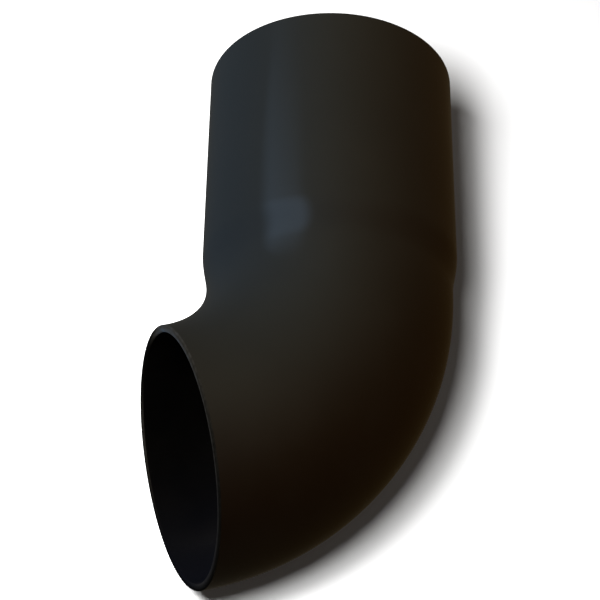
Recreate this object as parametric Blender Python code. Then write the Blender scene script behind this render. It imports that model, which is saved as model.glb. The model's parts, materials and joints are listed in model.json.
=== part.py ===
"""Downpipe shoe: the moulded bend at the foot of a round rainwater pipe, which throws the water forward.

One hollow piece. The origin is on the socket's axis at its mouth, +Z points up the pipe, and the
outlet faces -Y. Sizes are in metres and angles in radians.
"""

import math

import bmesh
import bpy

# Driving sizes
PIPE_DIAMETER = 0.068  # outside of the pipe that the socket takes
PIPE_CLEARANCE = 0.0005  # gap all round the pipe in its socket
SEAT_LEDGE = 0.001  # how far the body's bore closes in under the pipe's end
WALL = 0.002
SOCKET_DEPTH = 0.061  # from the mouth to the top of the shoulder
SHOULDER_HEIGHT = 0.012
THROAT_RADIUS = 0.022  # of the outer skin, on the inside of the bend
BEND_ANGLE = math.radians(74)
RIM_ROUND = 0.0004  # rounding on the edges of the mouth and the outlet

# How finely the round shapes are divided
STEPS_AROUND = 64
STEPS_SHOULDER = 8
STEPS_BEND = 20
STEPS_ROUND = 2

# Worked out from the driving sizes
SOCKET_BORE = PIPE_DIAMETER / 2 + PIPE_CLEARANCE
BODY_BORE = PIPE_DIAMETER / 2 - SEAT_LEDGE
BEND_START = -(SOCKET_DEPTH + SHOULDER_HEIGHT)
BEND_CENTRE = (0, -(BODY_BORE + WALL + THROAT_RADIUS), BEND_START)

SAME_HEIGHT = 1e-6  # points closer than this in height are level
SQUARE_EDGE = math.radians(60)  # faces that meet at more than this make a square edge
SMOOTH_EDGE = math.radians(40)

# Finish of the moulded plastic
PLASTIC_COLOUR = (0.012, 0.012, 0.013, 1)
PLASTIC_ROUGHNESS = 0.32


def clear_scene():
    for thing in list(bpy.data.objects):
        bpy.data.objects.remove(thing, do_unlink=True)


def skin_points(socket_radius, body_radius):
    """Points down one skin of the socket: the straight wall, then the S of the shoulder."""
    points = [(socket_radius, 0, 0)]
    for step in range(STEPS_SHOULDER + 1):
        share = step / STEPS_SHOULDER
        eased = (1 - math.cos(math.pi * share)) / 2
        radius = socket_radius + (body_radius - socket_radius) * eased
        points.append((radius, 0, -SOCKET_DEPTH - SHOULDER_HEIGHT * share))
    return points


def turn_socket(bm):
    """Turns the wall's section round the pipe's axis, from the mouth down to where the bend starts."""
    outer = skin_points(SOCKET_BORE + WALL, BODY_BORE + WALL)
    inner = skin_points(SOCKET_BORE, BODY_BORE)
    verts = [bm.verts.new(point) for point in outer + inner[::-1]]
    edges = [bm.edges.new(pair) for pair in zip(verts, verts[1:] + verts[:1])]
    bmesh.ops.spin(
        bm,
        geom=verts + edges,
        cent=(0, 0, 0),
        axis=(0, 0, 1),
        angle=math.tau,
        steps=STEPS_AROUND,
        use_merge=True,
    )


def is_bend_start(face):
    return all(abs(vert.co.z - BEND_START) < SAME_HEIGHT for vert in face.verts)


def sweep_bend(bm):
    """Carries the socket's open end round the bend, down to the outlet."""
    start = [face for face in bm.faces if is_bend_start(face)]
    bmesh.ops.spin(
        bm,
        geom=start,
        cent=BEND_CENTRE,
        axis=(-1, 0, 0),
        angle=BEND_ANGLE,
        steps=STEPS_BEND,
    )
    bmesh.ops.delete(bm, geom=start, context="FACES")


def round_rims(bm):
    """Rounds the square edges, which are those of the mouth and the outlet."""
    square = [edge for edge in bm.edges if edge.calc_face_angle(0) > SQUARE_EDGE]
    bmesh.ops.bevel(
        bm,
        geom=square,
        offset=RIM_ROUND,
        segments=STEPS_ROUND,
        profile=0.5,
        affect="EDGES",
    )


def build_shoe_mesh():
    bm = bmesh.new()
    turn_socket(bm)
    sweep_bend(bm)
    bmesh.ops.recalc_face_normals(bm, faces=bm.faces)
    round_rims(bm)
    mesh = bpy.data.meshes.new("downpipe_shoe")
    bm.to_mesh(mesh)
    bm.free()
    return mesh


def black_plastic():
    material = bpy.data.materials.new("black_plastic")
    material.use_nodes = True
    shader = material.node_tree.nodes["Principled BSDF"]
    shader.inputs["Base Color"].default_value = PLASTIC_COLOUR
    shader.inputs["Roughness"].default_value = PLASTIC_ROUGHNESS
    shader.inputs["Metallic"].default_value = 0
    return material


def add_shoe():
    mesh = build_shoe_mesh()
    mesh.materials.append(black_plastic())
    mesh.shade_smooth()
    mesh.set_sharp_from_angle(angle=SMOOTH_EDGE)
    shoe = bpy.data.objects.new("downpipe_shoe", mesh)
    bpy.context.scene.collection.objects.link(shoe)


def main():
    clear_scene()
    add_shoe()


main()
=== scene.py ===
"""Dresses a downpipe shoe: the moulded body in glossy black plastic, and a plain studio to show it in.

Laid out as an add-on and run as a script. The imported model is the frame: the origin is on the socket's
axis at its mouth, +Z points up the pipe, and the outlet faces -Y. Sizes are in metres, angles in radians.
A direction given by azimuth and elevation starts at -Y and turns towards +X, then rises towards +Z.
"""

import json
import math

import bmesh
import bpy
from bpy.props import FloatProperty, FloatVectorProperty, IntProperty, PointerProperty
from mathutils import Matrix, Vector


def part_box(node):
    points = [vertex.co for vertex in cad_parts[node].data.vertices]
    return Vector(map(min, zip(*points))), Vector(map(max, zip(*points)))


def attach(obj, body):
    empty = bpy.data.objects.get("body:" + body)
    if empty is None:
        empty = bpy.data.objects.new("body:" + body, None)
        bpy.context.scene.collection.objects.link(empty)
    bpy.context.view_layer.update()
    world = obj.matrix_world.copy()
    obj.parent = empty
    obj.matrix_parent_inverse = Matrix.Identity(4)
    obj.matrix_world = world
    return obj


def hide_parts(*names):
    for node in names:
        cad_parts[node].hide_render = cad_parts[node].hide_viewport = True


bl_info = {
    "name": "Downpipe shoe",
    "version": (1, 0, 0),
    "blender": (4, 5, 0),
    "location": "3D View > Sidebar > Downpipe shoe",
    "description": "Builds a moulded downpipe shoe over its frame, and a plain studio around it",
    "category": "Object",
}

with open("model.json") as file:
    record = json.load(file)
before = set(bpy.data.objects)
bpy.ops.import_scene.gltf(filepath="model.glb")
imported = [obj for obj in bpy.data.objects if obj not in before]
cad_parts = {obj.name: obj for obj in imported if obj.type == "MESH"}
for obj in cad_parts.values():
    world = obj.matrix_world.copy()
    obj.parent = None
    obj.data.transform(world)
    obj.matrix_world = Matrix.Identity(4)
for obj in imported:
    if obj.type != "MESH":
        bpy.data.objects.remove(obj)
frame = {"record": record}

NODE = "downpipe_shoe"
BODY = "root"

# What the frame says of the shoe
FRAME_LOW, FRAME_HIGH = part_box(NODE)
MOUNTS = {mount["name"]: mount for mount in frame["record"]["mounts"]}
SOCKET_DIMS = MOUNTS["downpipe_socket"]["dims"]
FLOW = Vector(MOUNTS["outlet_rim"]["axis"])
MM = 0.001

# The wall's two skins. The sign is that of the way out of the wall, away from the axis or towards it.
OUTSIDE = 1
INSIDE = -1

# How finely the mesh is divided, apart from what a user may change
EDGE_ARC_STEPS = 5
SOCKET_STEPS = 16
SHOULDER_STEPS = 16

# How far past a rounded edge the next ring of points lies, so that the flat beside it stays flat
EDGE_SUPPORT = 0.00006

# How fast the bottom strip of the bore, which gets painted light, fades up its sides
BORE_BOTTOM_FADE = 3

# Painted highlights on the rims: round which turn each lies, how fast it fades before and after it, and how
# much.
# A turn starts at +X, and a quarter turn on is the outside of the bend.
RIM_HIGHLIGHTS = (
    (math.radians(-66), 80, 8, 0.3),
    (math.radians(-66), 80, 1.8, 0.55),
    (math.radians(100), 2, 65, 0.14),
    (math.radians(215), 15, 45, 0.18),
)

# How much of that painted highlight the outer edge gets, and how much faster it fades there
OUTER_EDGE_HIGHLIGHT = 0.65
OUTER_EDGE_FADE = 1.8

# Noises in the plastic: how many to the metre, and how many finer layers each has
CLOUDS = (38, 3)
DULLED_PATCHES = (22, 4)
DRAG_MARKS = (420, 5)
ORANGE_PEEL = (1400, 2)
SLOW_RIPPLES = (34, 1)
HIGHLIGHT_BREAKUP = (900, 3)

# Which span of a noise shows, and the shares that its two ends give
CLOUD_SPAN = (0.35, 0.7, 0, 1)
DULLED_SPAN = (0.4, 0.75, 0, 0.8)
DRAG_SPAN = (0.62, 0.8, 0, 0.5)
HIGHLIGHT_BREAKUP_SPAN = (0.35, 0.65, 0.55, 1)

# Drag marks are drawn out along the pipe
DRAG_STRETCH = (1, 1, 0.06)

# Gloss of the plastic outside and on the dry part of the bore, which is that of any plain plastic
FULL_GLOSS = 0.5

WHITE = (1, 1, 1, 1)

# How far apart the nodes lie in the shader editor
NODE_SPACING = 200

# Where the camera, the middles of the tent's glows and the softbox stand, seen from the shoe
CAMERA_AZIMUTH = math.radians(75.318)
CAMERA_ELEVATION = math.radians(-29.25)
CAMERA_ROLL = math.radians(0.833)
HIGH_AZIMUTH = math.radians(70)
HIGH_ELEVATION = math.radians(32)
WARM_AZIMUTH = math.radians(118)
WARM_ELEVATION = math.radians(-2)
COOL_AZIMUTH = math.radians(11)
COOL_ELEVATION = math.radians(3)
BACK_AZIMUTH = math.radians(315)
BACK_ELEVATION = math.radians(-30)
SOFTBOX_AZIMUTH = math.radians(33)

# How fast the glows of the tent fade away from their middles
HIGH_FADE = 3.6
WARM_FADE = 1.85
COOL_FADE = 3.1
BACK_FADE = 14

# Where the softbox's light begins and where it is full: across from the middle of its width, and up from
# the level of the socket's mouth. Its sides lean and its top slopes, so both are measured at a slant.
SOFTBOX_LEAN = 0.28
SOFTBOX_SLOPE = 0.26
SOFTBOX_LEFT = -0.38
SOFTBOX_LEFT_FULL = -0.02
SOFTBOX_RIGHT_FULL = 0.4
SOFTBOX_RIGHT = 0.74
SOFTBOX_TOP_FULL = 0.3
SOFTBOX_TOP = 1.04

# The softbox's cloth, up and down from the same level
CLOTH_WIDTH = 1.9
CLOTH_BOTTOM = -1.2
CLOTH_TOP = 1.35

# How finely the tent's ball is divided
TENT_SUBDIVISIONS = 4

# The camera's sensor in millimetres, and how near and how far it sees
SENSOR_WIDTH = 36
CLIP_START = 0.01
CLIP_END = 20


def direction(azimuth, elevation):
    """Unit vector that points from the shoe towards that azimuth and elevation."""
    level = math.cos(elevation)
    return Vector((math.sin(azimuth) * level, -math.cos(azimuth) * level, math.sin(elevation)))


# Sizes and colours that a user would change


class ShoeSizes(bpy.types.PropertyGroup):
    socket_bore: FloatProperty(
        name="Socket bore",
        description="Radius of the bore that takes the pipe's end",
        default=SOCKET_DIMS["r_mm"] * MM,
        min=0.005,
        unit="LENGTH",
    )
    socket_depth: FloatProperty(
        name="Socket depth",
        description="From the mouth to the top of the shoulder",
        default=SOCKET_DIMS["length_mm"] * MM,
        min=0.005,
        unit="LENGTH",
    )
    wall: FloatProperty(
        name="Wall",
        description="Thickness of the wall",
        default=FRAME_HIGH.x - SOCKET_DIMS["r_mm"] * MM,
        min=0.001,
        unit="LENGTH",
    )
    step_in: FloatProperty(
        name="Step in",
        description="How far both skins close in over the shoulder, which stops the pipe",
        default=0.0015,
        min=0,
        unit="LENGTH",
    )
    shoulder_height: FloatProperty(
        name="Shoulder height",
        description="Length of the soft S between the socket and the bend",
        default=0.012,
        min=0.001,
        unit="LENGTH",
    )
    throat_radius: FloatProperty(
        name="Throat radius",
        description="Radius of the outer skin on the inside of the bend",
        default=0.022,
        min=0.002,
        unit="LENGTH",
    )
    bend_angle: FloatProperty(
        name="Bend angle",
        description="How far the bend turns the water forward",
        default=math.acos(-FLOW.z),
        min=math.radians(10),
        max=math.radians(120),
        subtype="ANGLE",
    )
    edge_round: FloatProperty(
        name="Edge rounding",
        description="Radius on the edges of the mouth and the outlet",
        default=0.0004,
        min=0.0001,
        unit="LENGTH",
    )
    steps_around: IntProperty(
        name="Steps around",
        description="Points in each ring of the wall",
        default=192,
        min=24,
    )
    steps_bend: IntProperty(
        name="Steps along the bend",
        description="Rings from the start of the bend to the outlet",
        default=54,
        min=8,
    )


class PlasticFinish(bpy.types.PropertyGroup):
    colour: FloatVectorProperty(
        name="Colour",
        description="Main colour of the black plastic",
        default=(0.0004, 0.00035, 0.0003),
        min=0,
        max=1,
        subtype="COLOR",
    )
    cloud_colour: FloatVectorProperty(
        name="Cloud colour",
        description="Slightly paler tone that drifts through the plastic",
        default=(0.0008, 0.0007, 0.00055),
        min=0,
        max=1,
        subtype="COLOR",
    )
    # Painted light along the bottom of the bore
    bore_bottom_light_colour: FloatVectorProperty(
        name="Bore bottom light colour",
        description="Bluish painted light along the bottom of the bore",
        default=(0.0018, 0.002, 0.0032),
        min=0,
        max=1,
        subtype="COLOR",
    )
    # Colours of the rims' painted highlight, where it is faint and where it is brightest
    faint_rim_highlight_colour: FloatVectorProperty(
        name="Faint rim highlight colour",
        description="Brownish grey painted on the rims where their painted highlight is faint",
        default=(0.042, 0.037, 0.028),
        min=0,
        max=1,
        subtype="COLOR",
    )
    bright_rim_highlight_colour: FloatVectorProperty(
        name="Bright rim highlight colour",
        description="Bluish grey painted highlight on the rims where it is brightest",
        default=(0.016, 0.026, 0.04),
        min=0,
        max=1,
        subtype="COLOR",
    )
    gloss_roughness: FloatProperty(
        name="Glossy roughness",
        description="Roughness where the plastic is at its glossiest",
        default=0.11,
        min=0,
        max=1,
        subtype="FACTOR",
    )
    satin_roughness: FloatProperty(
        name="Satin roughness",
        description="Roughness where handling has dulled the plastic",
        default=0.19,
        min=0,
        max=1,
        subtype="FACTOR",
    )
    rim_roughness: FloatProperty(
        name="Rim roughness",
        description="Roughness of the cut rims",
        default=0.45,
        min=0,
        max=1,
        subtype="FACTOR",
    )
    rim_gloss: FloatProperty(
        name="Rim gloss",
        description="How much gloss the cut rims and the bottom of the bore keep",
        default=0.003,
        min=0,
        max=1,
        subtype="FACTOR",
    )
    peel_depth: FloatProperty(
        name="Peel depth",
        description="Depth of the fine orange peel that the mould leaves",
        default=0.0000015,
        min=0,
        unit="LENGTH",
        precision=6,
    )
    ripple_depth: FloatProperty(
        name="Ripple depth",
        description="Depth of the slow ripples that bend the reflections",
        default=0.00004,
        min=0,
        unit="LENGTH",
        precision=6,
    )


class StudioLook(bpy.types.PropertyGroup):
    floor_colour: FloatVectorProperty(
        name="Floor colour",
        description="Colour of the pale floor that the shoe lies on",
        default=(0.92, 0.92, 0.92),
        min=0,
        max=1,
        subtype="COLOR",
    )
    upper_lamp_power: FloatProperty(
        name="Upper lamp power",
        description="Power of the upper of the two round lamps that throw the shadow on the floor",
        default=2.97,
        min=0,
        unit="POWER",
    )
    upper_lamp_width: FloatProperty(
        name="Upper lamp width",
        description="Width of the upper lamp",
        default=0.117,
        min=0.001,
        unit="LENGTH",
    )
    upper_lamp_place: FloatVectorProperty(
        name="Upper lamp place",
        description="Where the upper lamp hangs",
        default=(0.286, -0.169, -0.1625),
        unit="LENGTH",
        subtype="XYZ",
    )
    lower_lamp_power: FloatProperty(
        name="Lower lamp power",
        description="Power of the lower of the two round lamps",
        default=1.2,
        min=0,
        unit="POWER",
    )
    lower_lamp_width: FloatProperty(
        name="Lower lamp width",
        description="Width of the lower lamp",
        default=0.07,
        min=0.001,
        unit="LENGTH",
    )
    lower_lamp_place: FloatVectorProperty(
        name="Lower lamp place",
        description="Where the lower lamp hangs",
        default=(0.293, -0.1195, -0.211),
        unit="LENGTH",
        subtype="XYZ",
    )
    lamp_target: FloatVectorProperty(
        name="Lamp target",
        description="Point of the floor that both lamps face",
        default=(-0.0367, 0.102, -0.101),
        unit="LENGTH",
        subtype="XYZ",
    )
    shade_glow: FloatVectorProperty(
        name="Shade glow",
        description="Warm light that reaches the floor from all round, which fills the shadow",
        default=(0.055, 0.049, 0.044),
        min=0,
        subtype="COLOR",
    )
    high_glow: FloatVectorProperty(
        name="High glow",
        description="Brightness of the light tent high up, on the camera's side",
        default=(0.292, 0.296, 0.206),
        min=0,
        subtype="COLOR",
    )
    warm_glow: FloatVectorProperty(
        name="Warm glow",
        description="Brightness of the light tent on its warm side",
        default=(0.129, 0.039, 0),
        min=0,
        subtype="COLOR",
    )
    cool_glow: FloatVectorProperty(
        name="Cool glow",
        description="Brightness of the light tent on its cool side",
        default=(0.262, 0.385, 0.529),
        min=0,
        subtype="COLOR",
    )
    back_glow: FloatVectorProperty(
        name="Back glow",
        description="Brightness of the light tent low down behind the shoe",
        default=(0.25, 0.29, 0.35),
        min=0,
        subtype="COLOR",
    )
    even_glow: FloatVectorProperty(
        name="Even glow",
        description="Brightness that the whole light tent has",
        default=(0.028, 0.021, 0.009),
        min=0,
        subtype="COLOR",
    )
    softbox_colour: FloatVectorProperty(
        name="Softbox colour",
        description="Colour of the tall softbox that the socket mirrors",
        default=(0.46, 0.69, 1),
        min=0,
        subtype="COLOR",
    )
    softbox_level: FloatProperty(
        name="Softbox level",
        description="Brightness of the softbox at its brightest height",
        default=0.79,
        min=0,
    )
    softbox_distance: FloatProperty(
        name="Softbox distance",
        description="How far the softbox stands from the socket's axis",
        default=1.2,
        min=0.1,
        unit="LENGTH",
    )
    tent_radius: FloatProperty(
        name="Tent radius",
        description="Radius of the light tent round the shoe",
        default=1.6,
        min=0.5,
        unit="LENGTH",
    )
    floor_width: FloatProperty(
        name="Floor width",
        description="Width of the pale floor",
        default=0.8,
        min=0.5,
        unit="LENGTH",
    )
    floor_fade_start: FloatProperty(
        name="Floor fade start",
        description="How far from the shoe's middle the floor starts to clear into the white around it",
        default=0.15,
        min=0,
        unit="LENGTH",
    )
    floor_gap: FloatProperty(
        name="Floor gap",
        description="Room between the floor and the socket that lies on it",
        default=0.0002,
        min=0,
        unit="LENGTH",
    )
    camera_distance: FloatProperty(
        name="Camera distance",
        description="From the camera to the point it looks at",
        default=0.4519,
        min=0.1,
        unit="LENGTH",
    )
    camera_target: FloatVectorProperty(
        name="Camera target",
        description="Point that the camera looks at",
        default=(0, -0.008633, -0.075366),
        unit="LENGTH",
        subtype="XYZ",
    )
    camera_lens: FloatProperty(
        name="Camera lens",
        description="Focal length",
        default=96.114,
        min=10,
        unit="CAMERA",
    )


# The shoe's mesh


class ShoeShape:
    """Works out the rings of the wall from the sizes. A ring is its centre, its lean and its radius.

    Side says which skin of the wall is meant, OUTSIDE or INSIDE.
    """

    def __init__(self, sizes):
        self.sizes = sizes
        self.straight = sizes.socket_depth + sizes.shoulder_height
        self.body_bore = sizes.socket_bore - sizes.step_in
        self.bend_radius = self.body_bore + sizes.wall + sizes.throat_radius
        self.bend_centre = Vector((0, -self.bend_radius, -self.straight))

    def across(self, lean):
        """In-plane direction of a leaning ring, on the outside of the bend."""
        return Vector((0, math.cos(lean), -math.sin(lean)))

    def at_mouth(self, setback, radius):
        return (Vector((0, 0, -setback)), 0, radius)

    def at_bend(self, lean, radius):
        return (self.bend_centre + self.bend_radius * self.across(lean), lean, radius)

    def at_outlet(self, setback, radius):
        centre, lean, radius = self.at_bend(self.sizes.bend_angle, radius)
        flow = Vector((0, -math.sin(lean), -math.cos(lean)))
        return (centre - setback * flow, lean, radius)

    def edge_steps(self, skin, side):
        """Setback and radius of each ring over a rounded edge, from the flat of the rim onto the skin."""
        rounding = self.sizes.edge_round
        steps = [(0, skin - side * (rounding + EDGE_SUPPORT))]
        for step in range(EDGE_ARC_STEPS + 1):
            turn = math.pi / 2 * step / EDGE_ARC_STEPS
            steps.append((rounding * (1 - math.cos(turn)), skin - side * rounding * (1 - math.sin(turn))))
        steps.append((rounding + EDGE_SUPPORT, skin))
        return steps

    def socket_rings(self, socket_radius, body_radius):
        """Rings down the straight socket and over the shoulder, to where the bend starts."""
        rings = []
        for step in range(1, SOCKET_STEPS + 1):
            rings.append(self.at_mouth(self.sizes.socket_depth * step / SOCKET_STEPS, socket_radius))
        for step in range(1, SHOULDER_STEPS + 1):
            share = step / SHOULDER_STEPS
            eased = (1 - math.cos(math.pi * share)) / 2
            radius = socket_radius + (body_radius - socket_radius) * eased
            setback = self.sizes.socket_depth + self.sizes.shoulder_height * share
            rings.append(self.at_mouth(setback, radius))
        return rings

    def skin_rings(self, side):
        """Rings of one skin from the mouth's rim to the outlet's, and which of them are on a rim."""
        wall = self.sizes.wall if side == OUTSIDE else 0
        socket_radius = self.sizes.socket_bore + wall
        body_radius = self.body_bore + wall
        mouth = [self.at_mouth(*step) for step in self.edge_steps(socket_radius, side)]
        outlet = [self.at_outlet(*step) for step in self.edge_steps(body_radius, side)]
        middle = self.socket_rings(socket_radius, body_radius)
        for step in range(1, self.sizes.steps_bend):
            lean = self.sizes.bend_angle * step / self.sizes.steps_bend
            middle.append(self.at_bend(lean, body_radius))
        rings = mouth + middle + outlet[::-1]
        rim = [True] * (len(mouth) - 1) + [False]
        return rings, rim + [False] * len(middle) + rim[::-1]

    def turns(self):
        return [math.tau * step / self.sizes.steps_around for step in range(self.sizes.steps_around)]

    def ring_point(self, ring, turn):
        centre, lean, radius = ring
        return centre + radius * (math.cos(turn) * Vector((1, 0, 0)) + math.sin(turn) * self.across(lean))


def check_sizes(sizes):
    """Stops where the sizes can't make a shoe."""
    if sizes.wall <= 2 * (sizes.edge_round + EDGE_SUPPORT):
        raise ValueError("the wall is too thin for its rounded edges")
    if sizes.socket_bore <= sizes.step_in:
        raise ValueError("the shoulder closes the bore")
    last_row = sizes.throat_radius * math.sin(sizes.bend_angle / sizes.steps_bend)
    if last_row <= sizes.edge_round + EDGE_SUPPORT:
        raise ValueError("the bend has too many steps for the outlet's rounded edge")


def rim_highlight_at(turn):
    """How much painted highlight the inner edge of the rims gets at that turn, which is most on the
    throat's side.
    """
    highlight = 0
    for middle, fade_before, fade_after, level in RIM_HIGHLIGHTS:
        away = math.remainder(turn - middle, math.tau)
        fade = fade_after if away > 0 else fade_before
        highlight += level * ((1 + math.cos(away)) / 2) ** fade
    return min(highlight, 1)


def outer_rim_highlight_at(turn):
    """How much painted highlight the outer edge gets, which is less, and mostly where the inner edge's
    highlight is strong.
    """
    return OUTER_EDGE_HIGHLIGHT * rim_highlight_at(turn) ** OUTER_EDGE_FADE


def bore_bottom_at(turn):
    """How much a turn belongs to the bottom strip of the bore, which gets painted light. The strip runs
    along the outside of the bend.
    """
    return ((1 + math.sin(turn)) / 2) ** BORE_BOTTOM_FADE


def build_shoe_mesh(sizes):
    """The whole wall as one closed skin: outside from mouth to outlet, and back up the inside."""
    check_sizes(sizes)
    shape = ShoeShape(sizes)
    outer, outer_rim = shape.skin_rings(OUTSIDE)
    inner, inner_rim = shape.skin_rings(INSIDE)
    rings = outer + inner[::-1]
    on_rim = outer_rim + inner_rim[::-1]
    is_inner = [False] * len(outer) + [True] * len(inner)

    bm = bmesh.new()
    marks = {name: bm.verts.layers.float.new(name) for name in ("rim", "rim_highlight", "bore_bottom_strip")}
    rows = []
    for ring, rim, within in zip(rings, on_rim, is_inner):
        row = []
        for turn in shape.turns():
            vert = bm.verts.new(shape.ring_point(ring, turn))
            vert[marks["rim"]] = rim
            # Painted highlights on the rims and painted light along the bottom of the bore, kept as marks
            # on the points
            vert[marks["rim_highlight"]] = rim * (rim_highlight_at(turn) if within else outer_rim_highlight_at(turn))
            vert[marks["bore_bottom_strip"]] = within * bore_bottom_at(turn)
            row.append(vert)
        rows.append(row)
    for row, next_row in zip(rows, rows[1:] + rows[:1]):
        for index, vert in enumerate(row):
            after = (index + 1) % len(row)
            bm.faces.new((vert, row[after], next_row[after], next_row[index]))
    bmesh.ops.recalc_face_normals(bm, faces=bm.faces)
    mesh = bpy.data.meshes.new("dressed_shoe")
    bm.to_mesh(mesh)
    bm.free()
    mesh.shade_smooth()
    return mesh


# Materials


def add_node(tree, kind, label, inputs=None, **settings):
    """Adds a shader node, with its own settings and the fixed values of its inputs."""
    node = tree.nodes.new(kind)
    node.label = label
    node.location = (NODE_SPACING * len(tree.nodes), 0)
    for name, value in settings.items():
        setattr(node, name, value)
    for name, value in (inputs or {}).items():
        node.inputs[name].default_value = value
    return node


def empty_material(name):
    material = bpy.data.materials.new(name)
    material.use_nodes = True
    material.node_tree.nodes.clear()
    return material


def output_surface(tree, shader):
    output = add_node(tree, "ShaderNodeOutputMaterial", "Output")
    tree.links.new(shader, output.inputs["Surface"])


def add_noise(tree, coordinates, label, grain):
    """Grain is the noise's scale and its detail."""
    scale, detail = grain
    noise = add_node(tree, "ShaderNodeTexNoise", label, {"Scale": scale, "Detail": detail})
    tree.links.new(coordinates, noise.inputs["Vector"])
    return noise.outputs["Fac"]


def stretch(tree, coordinates, label, scale):
    mapping = add_node(tree, "ShaderNodeMapping", label, {"Scale": scale})
    tree.links.new(coordinates, mapping.inputs["Vector"])
    return mapping.outputs["Vector"]


def remap(tree, value, label, low, high, to_low, to_high):
    """Turns low into to_low and high into to_high, with soft ends and nothing beyond them."""
    node = add_node(
        tree,
        "ShaderNodeMapRange",
        label,
        {"From Min": low, "From Max": high, "To Min": to_low, "To Max": to_high},
        interpolation_type="SMOOTHSTEP",
    )
    tree.links.new(value, node.inputs["Value"])
    return node.outputs["Result"]


def noise_share(tree, coordinates, label, grain, span):
    """A noise, spread out over its span."""
    return remap(tree, add_noise(tree, coordinates, label, grain), label + " share", *span)


def find_socket(sockets, identifier):
    """A mix node names the sockets of all its kinds alike, so they are told apart by identifier."""
    return next(socket for socket in sockets if socket.identifier == identifier)


def blend(tree, share, label, kind, ending, first, second):
    """Blends two things of one kind. Either may be a fixed value or another node's output."""
    node = add_node(tree, "ShaderNodeMix", label, data_type=kind)
    tree.links.new(share, node.inputs["Factor"])
    for name, value in (("A", first), ("B", second)):
        socket = find_socket(node.inputs, name + ending)
        if isinstance(value, bpy.types.NodeSocket):
            tree.links.new(value, socket)
        else:
            socket.default_value = value
    return find_socket(node.outputs, "Result" + ending)


def blend_colour(tree, share, label, first, second):
    return blend(tree, share, label, "RGBA", "_Color", first, second)


def blend_value(tree, share, label, first, second):
    return blend(tree, share, label, "FLOAT", "_Float", first, second)


def opaque(colour):
    """The colour with full alpha, as a node's input takes it."""
    return (*colour, 1)


def combine(tree, first, second, label, operation):
    node = add_node(tree, "ShaderNodeMath", label, operation=operation)
    tree.links.new(first, node.inputs[0])
    tree.links.new(second, node.inputs[1])
    return node.outputs["Value"]


def multiply(tree, first, second, label):
    return combine(tree, first, second, label, "MULTIPLY")


def maximum(tree, first, second, label):
    return combine(tree, first, second, label, "MAXIMUM")


def add_bump(tree, height, label, depth, below=None):
    bump = add_node(tree, "ShaderNodeBump", label, {"Strength": 1, "Distance": depth})
    tree.links.new(height, bump.inputs["Height"])
    if below is not None:
        tree.links.new(below, bump.inputs["Normal"])
    return bump.outputs["Normal"]


def black_plastic(finish):
    """Moulded black plastic: faint clouds, dulled patches, long drag marks, orange peel, painted highlights
    on the rims and painted light along the bottom of the bore.
    """
    material = empty_material("black_plastic")
    tree = material.node_tree
    place = add_node(tree, "ShaderNodeTexCoord", "Place on the shoe").outputs["Object"]

    clouds = noise_share(tree, place, "Clouds", CLOUDS, CLOUD_SPAN)
    dulled = noise_share(tree, place, "Dulled patches", DULLED_PATCHES, DULLED_SPAN)
    along = stretch(tree, place, "Along the pipe", DRAG_STRETCH)
    drags = noise_share(tree, along, "Drag marks", DRAG_MARKS, DRAG_SPAN)
    peel = add_noise(tree, place, "Orange peel", ORANGE_PEEL)
    ripples = add_noise(tree, place, "Slow ripples", SLOW_RIPPLES)
    highlight_breakup = noise_share(tree, place, "Highlight breakup", HIGHLIGHT_BREAKUP, HIGHLIGHT_BREAKUP_SPAN)

    rim = add_node(tree, "ShaderNodeAttribute", "Rim", attribute_name="rim").outputs["Fac"]
    # The bottom strip of the bore, which gets painted light and a duller finish
    bore_bottom = add_node(tree, "ShaderNodeAttribute", "Bore", attribute_name="bore_bottom_strip").outputs["Fac"]
    # Painted highlight on the rims, broken up by a noise
    highlight_mask = add_node(tree, "ShaderNodeAttribute", "Rim highlight", attribute_name="rim_highlight").outputs["Fac"]
    highlight_mask = multiply(tree, highlight_mask, highlight_breakup, "Broken rim highlight")

    colour = blend_colour(tree, clouds, "Plastic", opaque(finish.colour), opaque(finish.cloud_colour))
    # Painted light along the bottom of the bore
    colour = blend_colour(tree, bore_bottom, "With painted light on the bore bottom", colour, opaque(finish.bore_bottom_light_colour))
    # The rims' painted highlight: brownish grey where faint, bluish grey where brightest
    highlight_tone = blend_colour(tree, highlight_mask, "Rim highlight tone", opaque(finish.faint_rim_highlight_colour), opaque(finish.bright_rim_highlight_colour))
    colour = blend_colour(tree, highlight_mask, "With painted rim highlights", colour, highlight_tone)
    roughness = blend_value(tree, dulled, "Dulled", finish.gloss_roughness, finish.satin_roughness)
    roughness = blend_value(tree, drags, "Dragged", roughness, finish.satin_roughness)
    roughness = blend_value(tree, bore_bottom, "Bore bottom roughness", roughness, finish.rim_roughness)
    roughness = blend_value(tree, rim, "Cut rims", roughness, finish.rim_roughness)
    gloss = blend_value(tree, bore_bottom, "Bore bottom gloss", FULL_GLOSS, finish.rim_gloss)
    gloss = blend_value(tree, rim, "Gloss", gloss, finish.rim_gloss)
    normal = add_bump(tree, ripples, "Ripple relief", finish.ripple_depth)
    normal = add_bump(tree, peel, "Peel relief", finish.peel_depth, normal)

    shader = add_node(tree, "ShaderNodeBsdfPrincipled", "Plastic")
    tree.links.new(colour, shader.inputs["Base Color"])
    tree.links.new(roughness, shader.inputs["Roughness"])
    tree.links.new(gloss, shader.inputs["Specular IOR Level"])
    tree.links.new(normal, shader.inputs["Normal"])
    output_surface(tree, shader.outputs["BSDF"])
    return material


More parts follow.
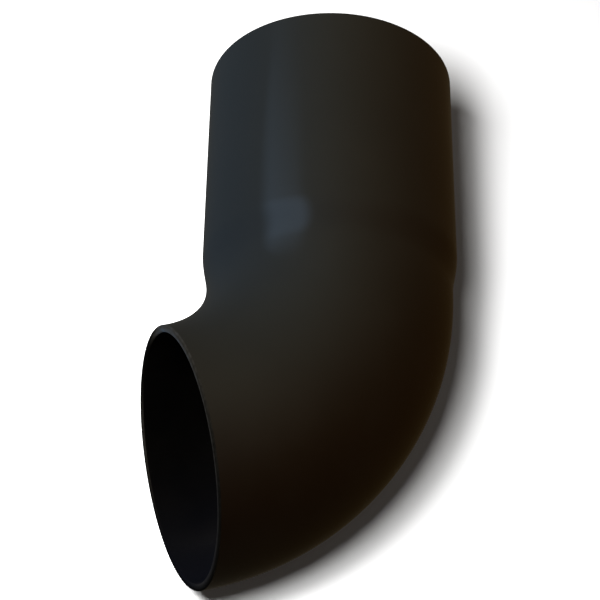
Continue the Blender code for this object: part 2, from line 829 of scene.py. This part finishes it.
def pale_floor(studio):
    """Matt pale floor that turns clear away from the shoe, and wherever it is seen from behind."""
    material = empty_material("pale_floor")
    tree = material.node_tree
    matt = add_node(tree, "ShaderNodeBsdfDiffuse", "Matt", {"Color": opaque(studio.floor_colour)})
    clear = add_node(tree, "ShaderNodeBsdfTransparent", "Clear")
    place = add_node(tree, "ShaderNodeTexCoord", "Place on the floor").outputs["Object"]
    away = add_node(tree, "ShaderNodeVectorMath", "Away from the shoe", operation="LENGTH")
    tree.links.new(place, away.inputs[0])
    far = remap(tree, away.outputs["Value"], "Far", studio.floor_fade_start, studio.floor_width / 2, 0, 1)
    behind = add_node(tree, "ShaderNodeNewGeometry", "Side").outputs["Backfacing"]
    mix = add_node(tree, "ShaderNodeMixShader", "Clear where far or behind")
    tree.links.new(maximum(tree, far, behind, "Far or behind"), mix.inputs["Fac"])
    tree.links.new(matt.outputs["BSDF"], mix.inputs[1])
    tree.links.new(clear.outputs["BSDF"], mix.inputs[2])
    output_surface(tree, mix.outputs["Shader"])
    return material


def distance_along(tree, place, label, direction_of_growth):
    """How far a place lies along a direction."""
    node = add_node(tree, "ShaderNodeVectorMath", label, operation="DOT_PRODUCT")
    node.inputs[1].default_value = direction_of_growth
    tree.links.new(place, node.inputs[0])
    return node.outputs["Value"]


def add_glow(tree, heading, label, towards, fade, colour):
    """Emission that is brightest towards one direction and fades to nothing on the far side."""
    facing = distance_along(tree, heading, label + " facing", towards)
    share = add_node(tree, "ShaderNodeMapRange", label + " share", {"From Min": -1, "From Max": 1})
    tree.links.new(facing, share.inputs["Value"])
    faded = add_node(tree, "ShaderNodeMath", label + " fade", operation="POWER")
    faded.inputs[1].default_value = fade
    tree.links.new(share.outputs["Result"], faded.inputs[0])
    glow = add_node(tree, "ShaderNodeEmission", label, {"Color": opaque(colour)})
    tree.links.new(faded.outputs["Value"], glow.inputs["Strength"])
    return glow.outputs["Emission"]


def add_shaders(tree, first, second):
    both = add_node(tree, "ShaderNodeAddShader", "Both")
    tree.links.new(first, both.inputs[0])
    tree.links.new(second, both.inputs[1])
    return both.outputs["Shader"]


def tent_cloth(studio):
    """Glow of the light tent: cool on one side, warm on the other, pale high up and low down behind."""
    material = empty_material("tent_cloth")
    material.cycles.emission_sampling = "NONE"
    tree = material.node_tree
    place = add_node(tree, "ShaderNodeTexCoord", "Place on the tent").outputs["Object"]
    heading = add_node(tree, "ShaderNodeVectorMath", "Heading", operation="NORMALIZE")
    tree.links.new(place, heading.inputs[0])
    heading = heading.outputs["Vector"]
    even = add_node(tree, "ShaderNodeEmission", "Even", {"Color": opaque(studio.even_glow)})
    cloth = even.outputs["Emission"]
    glows = (
        ("High", direction(HIGH_AZIMUTH, HIGH_ELEVATION), HIGH_FADE, studio.high_glow),
        ("Warm", direction(WARM_AZIMUTH, WARM_ELEVATION), WARM_FADE, studio.warm_glow),
        ("Cool", direction(COOL_AZIMUTH, COOL_ELEVATION), COOL_FADE, studio.cool_glow),
        ("Back", direction(BACK_AZIMUTH, BACK_ELEVATION), BACK_FADE, studio.back_glow),
    )
    for glow in glows:
        cloth = add_shaders(tree, cloth, add_glow(tree, heading, *glow))
    output_surface(tree, cloth)
    return material


def softbox_cloth(studio):
    """Glow of the softbox, which adds to what is behind it and fades out at its sides and its top."""
    material = empty_material("softbox_cloth")
    material.cycles.emission_sampling = "NONE"
    tree = material.node_tree
    place = add_node(tree, "ShaderNodeTexCoord", "Place on the softbox").outputs["Object"]
    across = distance_along(tree, place, "Across, leaning", (1, SOFTBOX_LEAN, 0))
    up = distance_along(tree, place, "Up, sloping", (SOFTBOX_SLOPE, 1, 0))
    left = remap(tree, across, "Left side", SOFTBOX_LEFT, SOFTBOX_LEFT_FULL, 0, 1)
    right = remap(tree, across, "Right side", SOFTBOX_RIGHT_FULL, SOFTBOX_RIGHT, 1, 0)
    top = remap(tree, up, "Top", SOFTBOX_TOP_FULL, SOFTBOX_TOP, studio.softbox_level, 0)
    strength = multiply(tree, multiply(tree, left, right, "Sides"), top, "Strength")
    glow = add_node(tree, "ShaderNodeEmission", "Cloth", {"Color": opaque(studio.softbox_colour)})
    tree.links.new(strength, glow.inputs["Strength"])
    clear = add_node(tree, "ShaderNodeBsdfTransparent", "Clear")
    output_surface(tree, add_shaders(tree, glow.outputs["Emission"], clear.outputs["BSDF"]))
    return material


# The studio


def link_object(name, data):
    thing = bpy.data.objects.new(name, data)
    bpy.context.scene.collection.objects.link(thing)
    return thing


def add_panel(name, width, bottom, top, material):
    """A flat four-cornered piece of the studio, wide along its own X and reaching along its own Y."""
    half = width / 2
    corners = [(-half, bottom, 0), (half, bottom, 0), (half, top, 0), (-half, top, 0)]
    mesh = bpy.data.meshes.new(name)
    mesh.from_pydata(corners, [], [(0, 1, 2, 3)])
    mesh.materials.append(material)
    panel = link_object(name, mesh)
    return panel


def placed(location, across, up):
    """Matrix that puts an object at location, with its X along across and its Y along up."""
    out = across.cross(up)
    matrix = Matrix((across, up, out)).transposed().to_4x4()
    matrix.translation = location
    return matrix


def only_in_gloss(thing):
    thing.visible_camera = False
    thing.visible_diffuse = False
    thing.visible_transmission = False
    thing.visible_volume_scatter = False
    thing.visible_shadow = False


def add_floor(studio):
    """The shoe lies on its side, so the floor stands upright in the frame, against the socket."""
    half = studio.floor_width / 2
    floor = add_panel("studio_floor", studio.floor_width, -half, half, pale_floor(studio))
    floor.rotation_mode = "QUATERNION"
    floor.rotation_quaternion = Vector((1, 0, 0)).to_track_quat("Z", "Y")
    middle = (FRAME_LOW + FRAME_HIGH) / 2
    floor.location = (FRAME_LOW.x - studio.floor_gap, middle.y, middle.z)
    floor.visible_glossy = False


def add_tent(studio):
    """A light tent all round the shoe, which only its gloss mirrors."""
    bm = bmesh.new()
    bmesh.ops.create_icosphere(bm, subdivisions=TENT_SUBDIVISIONS, radius=studio.tent_radius)
    mesh = bpy.data.meshes.new("light_tent")
    bm.to_mesh(mesh)
    bm.free()
    mesh.materials.append(tent_cloth(studio))
    tent = link_object("light_tent", mesh)
    tent.location = (FRAME_LOW + FRAME_HIGH) / 2
    only_in_gloss(tent)


def add_softbox(studio):
    softbox = add_panel("softbox", CLOTH_WIDTH, CLOTH_BOTTOM, CLOTH_TOP, softbox_cloth(studio))
    towards = direction(SOFTBOX_AZIMUTH, 0)
    across = Vector((math.cos(SOFTBOX_AZIMUTH), math.sin(SOFTBOX_AZIMUTH), 0))
    up = Vector((0, 0, 1))
    softbox.matrix_world = placed(towards * studio.softbox_distance, across, up)
    only_in_gloss(softbox)


def add_lamp(name, place, target, power, width):
    """A round lamp that faces the target. The gloss mirrors the tent and the softbox instead of it."""
    light = bpy.data.lights.new(name, "AREA")
    light.shape = "DISK"
    light.size = width
    light.energy = power
    lamp = link_object(name, light)
    lamp.rotation_mode = "QUATERNION"
    lamp.rotation_quaternion = (place - target).to_track_quat("Z", "Y")
    lamp.location = place
    lamp.visible_camera = False
    lamp.visible_glossy = False


def add_lamps(studio):
    target = Vector(studio.lamp_target)
    upper = Vector(studio.upper_lamp_place)
    lower = Vector(studio.lower_lamp_place)
    add_lamp("upper_lamp", upper, target, studio.upper_lamp_power, studio.upper_lamp_width)
    add_lamp("lower_lamp", lower, target, studio.lower_lamp_power, studio.lower_lamp_width)


def set_world(studio):
    """A white background, and a low even light on everything matt."""
    world = bpy.data.worlds.new("studio")
    world.use_nodes = True
    tree = world.node_tree
    tree.nodes.clear()
    path = add_node(tree, "ShaderNodeLightPath", "Kind of ray")
    seen = path.outputs["Is Camera Ray"]
    for kind in ("Is Glossy Ray", "Is Transmission Ray"):
        seen = maximum(tree, seen, path.outputs[kind], "Or " + kind)
    colour = blend_colour(tree, seen, "White or shade", opaque(studio.shade_glow), WHITE)
    background = add_node(tree, "ShaderNodeBackground", "Background")
    tree.links.new(colour, background.inputs["Color"])
    output = add_node(tree, "ShaderNodeOutputWorld", "Output")
    tree.links.new(background.outputs["Background"], output.inputs["Surface"])
    bpy.context.scene.world = world


def add_camera(studio):
    back = direction(CAMERA_AZIMUTH, CAMERA_ELEVATION)
    level = Vector((math.cos(CAMERA_AZIMUTH), math.sin(CAMERA_AZIMUTH), 0))
    upright = back.cross(level)
    across = math.cos(CAMERA_ROLL) * level + math.sin(CAMERA_ROLL) * upright
    up = math.cos(CAMERA_ROLL) * upright - math.sin(CAMERA_ROLL) * level
    data = bpy.data.cameras.new("camera")
    data.lens = studio.camera_lens
    data.sensor_width = SENSOR_WIDTH
    data.clip_start = CLIP_START
    data.clip_end = CLIP_END
    camera = link_object("camera", data)
    target = Vector(studio.camera_target)
    camera.matrix_world = placed(target + back * studio.camera_distance, across, up)
    bpy.context.scene.camera = camera


# The add-on's operators and panel


class DOWNPIPE_OT_add_shoe(bpy.types.Operator):
    """Builds the moulded shoe in black plastic over its frame node"""

    bl_idname = "downpipe.add_shoe"
    bl_label = "Add shoe"

    def execute(self, context):
        mesh = build_shoe_mesh(context.scene.shoe_sizes)
        mesh.materials.append(black_plastic(context.scene.plastic_finish))
        shoe = link_object("dressed_shoe", mesh)
        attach(shoe, BODY)
        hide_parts(NODE)
        return {"FINISHED"}


class DOWNPIPE_OT_add_stage(bpy.types.Operator):
    """Sets up the pale floor, the lights and the camera"""

    bl_idname = "downpipe.add_stage"
    bl_label = "Add stage"

    def execute(self, context):
        studio = context.scene.studio_look
        add_floor(studio)
        add_tent(studio)
        add_softbox(studio)
        add_lamps(studio)
        set_world(studio)
        add_camera(studio)
        context.scene.view_settings.view_transform = "Standard"
        return {"FINISHED"}


class DOWNPIPE_PT_panel(bpy.types.Panel):
    """Lists the shoe's sizes and finish, the studio, and what builds them"""

    bl_idname = "DOWNPIPE_PT_panel"
    bl_label = "Downpipe shoe"
    bl_space_type = "VIEW_3D"
    bl_region_type = "UI"
    bl_category = "Downpipe shoe"

    def draw(self, context):
        for group in GROUPS:
            box = self.layout.box()
            settings = getattr(context.scene, group)
            for name in settings.__annotations__:
                box.prop(settings, name)
        for operator in OPERATORS:
            self.layout.operator(operator.bl_idname)


GROUPS = {"shoe_sizes": ShoeSizes, "plastic_finish": PlasticFinish, "studio_look": StudioLook}
OPERATORS = (DOWNPIPE_OT_add_shoe, DOWNPIPE_OT_add_stage)
CLASSES = (*GROUPS.values(), *OPERATORS, DOWNPIPE_PT_panel)


def register():
    for cls in CLASSES:
        bpy.utils.register_class(cls)
    for name, group in GROUPS.items():
        setattr(bpy.types.Scene, name, PointerProperty(type=group))


def unregister():
    for name in GROUPS:
        delattr(bpy.types.Scene, name)
    for cls in reversed(CLASSES):
        bpy.utils.unregister_class(cls)


def main():
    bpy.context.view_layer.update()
    register()
    bpy.ops.downpipe.add_shoe()
    bpy.ops.downpipe.add_stage()


if __name__ == "__main__":
    main()
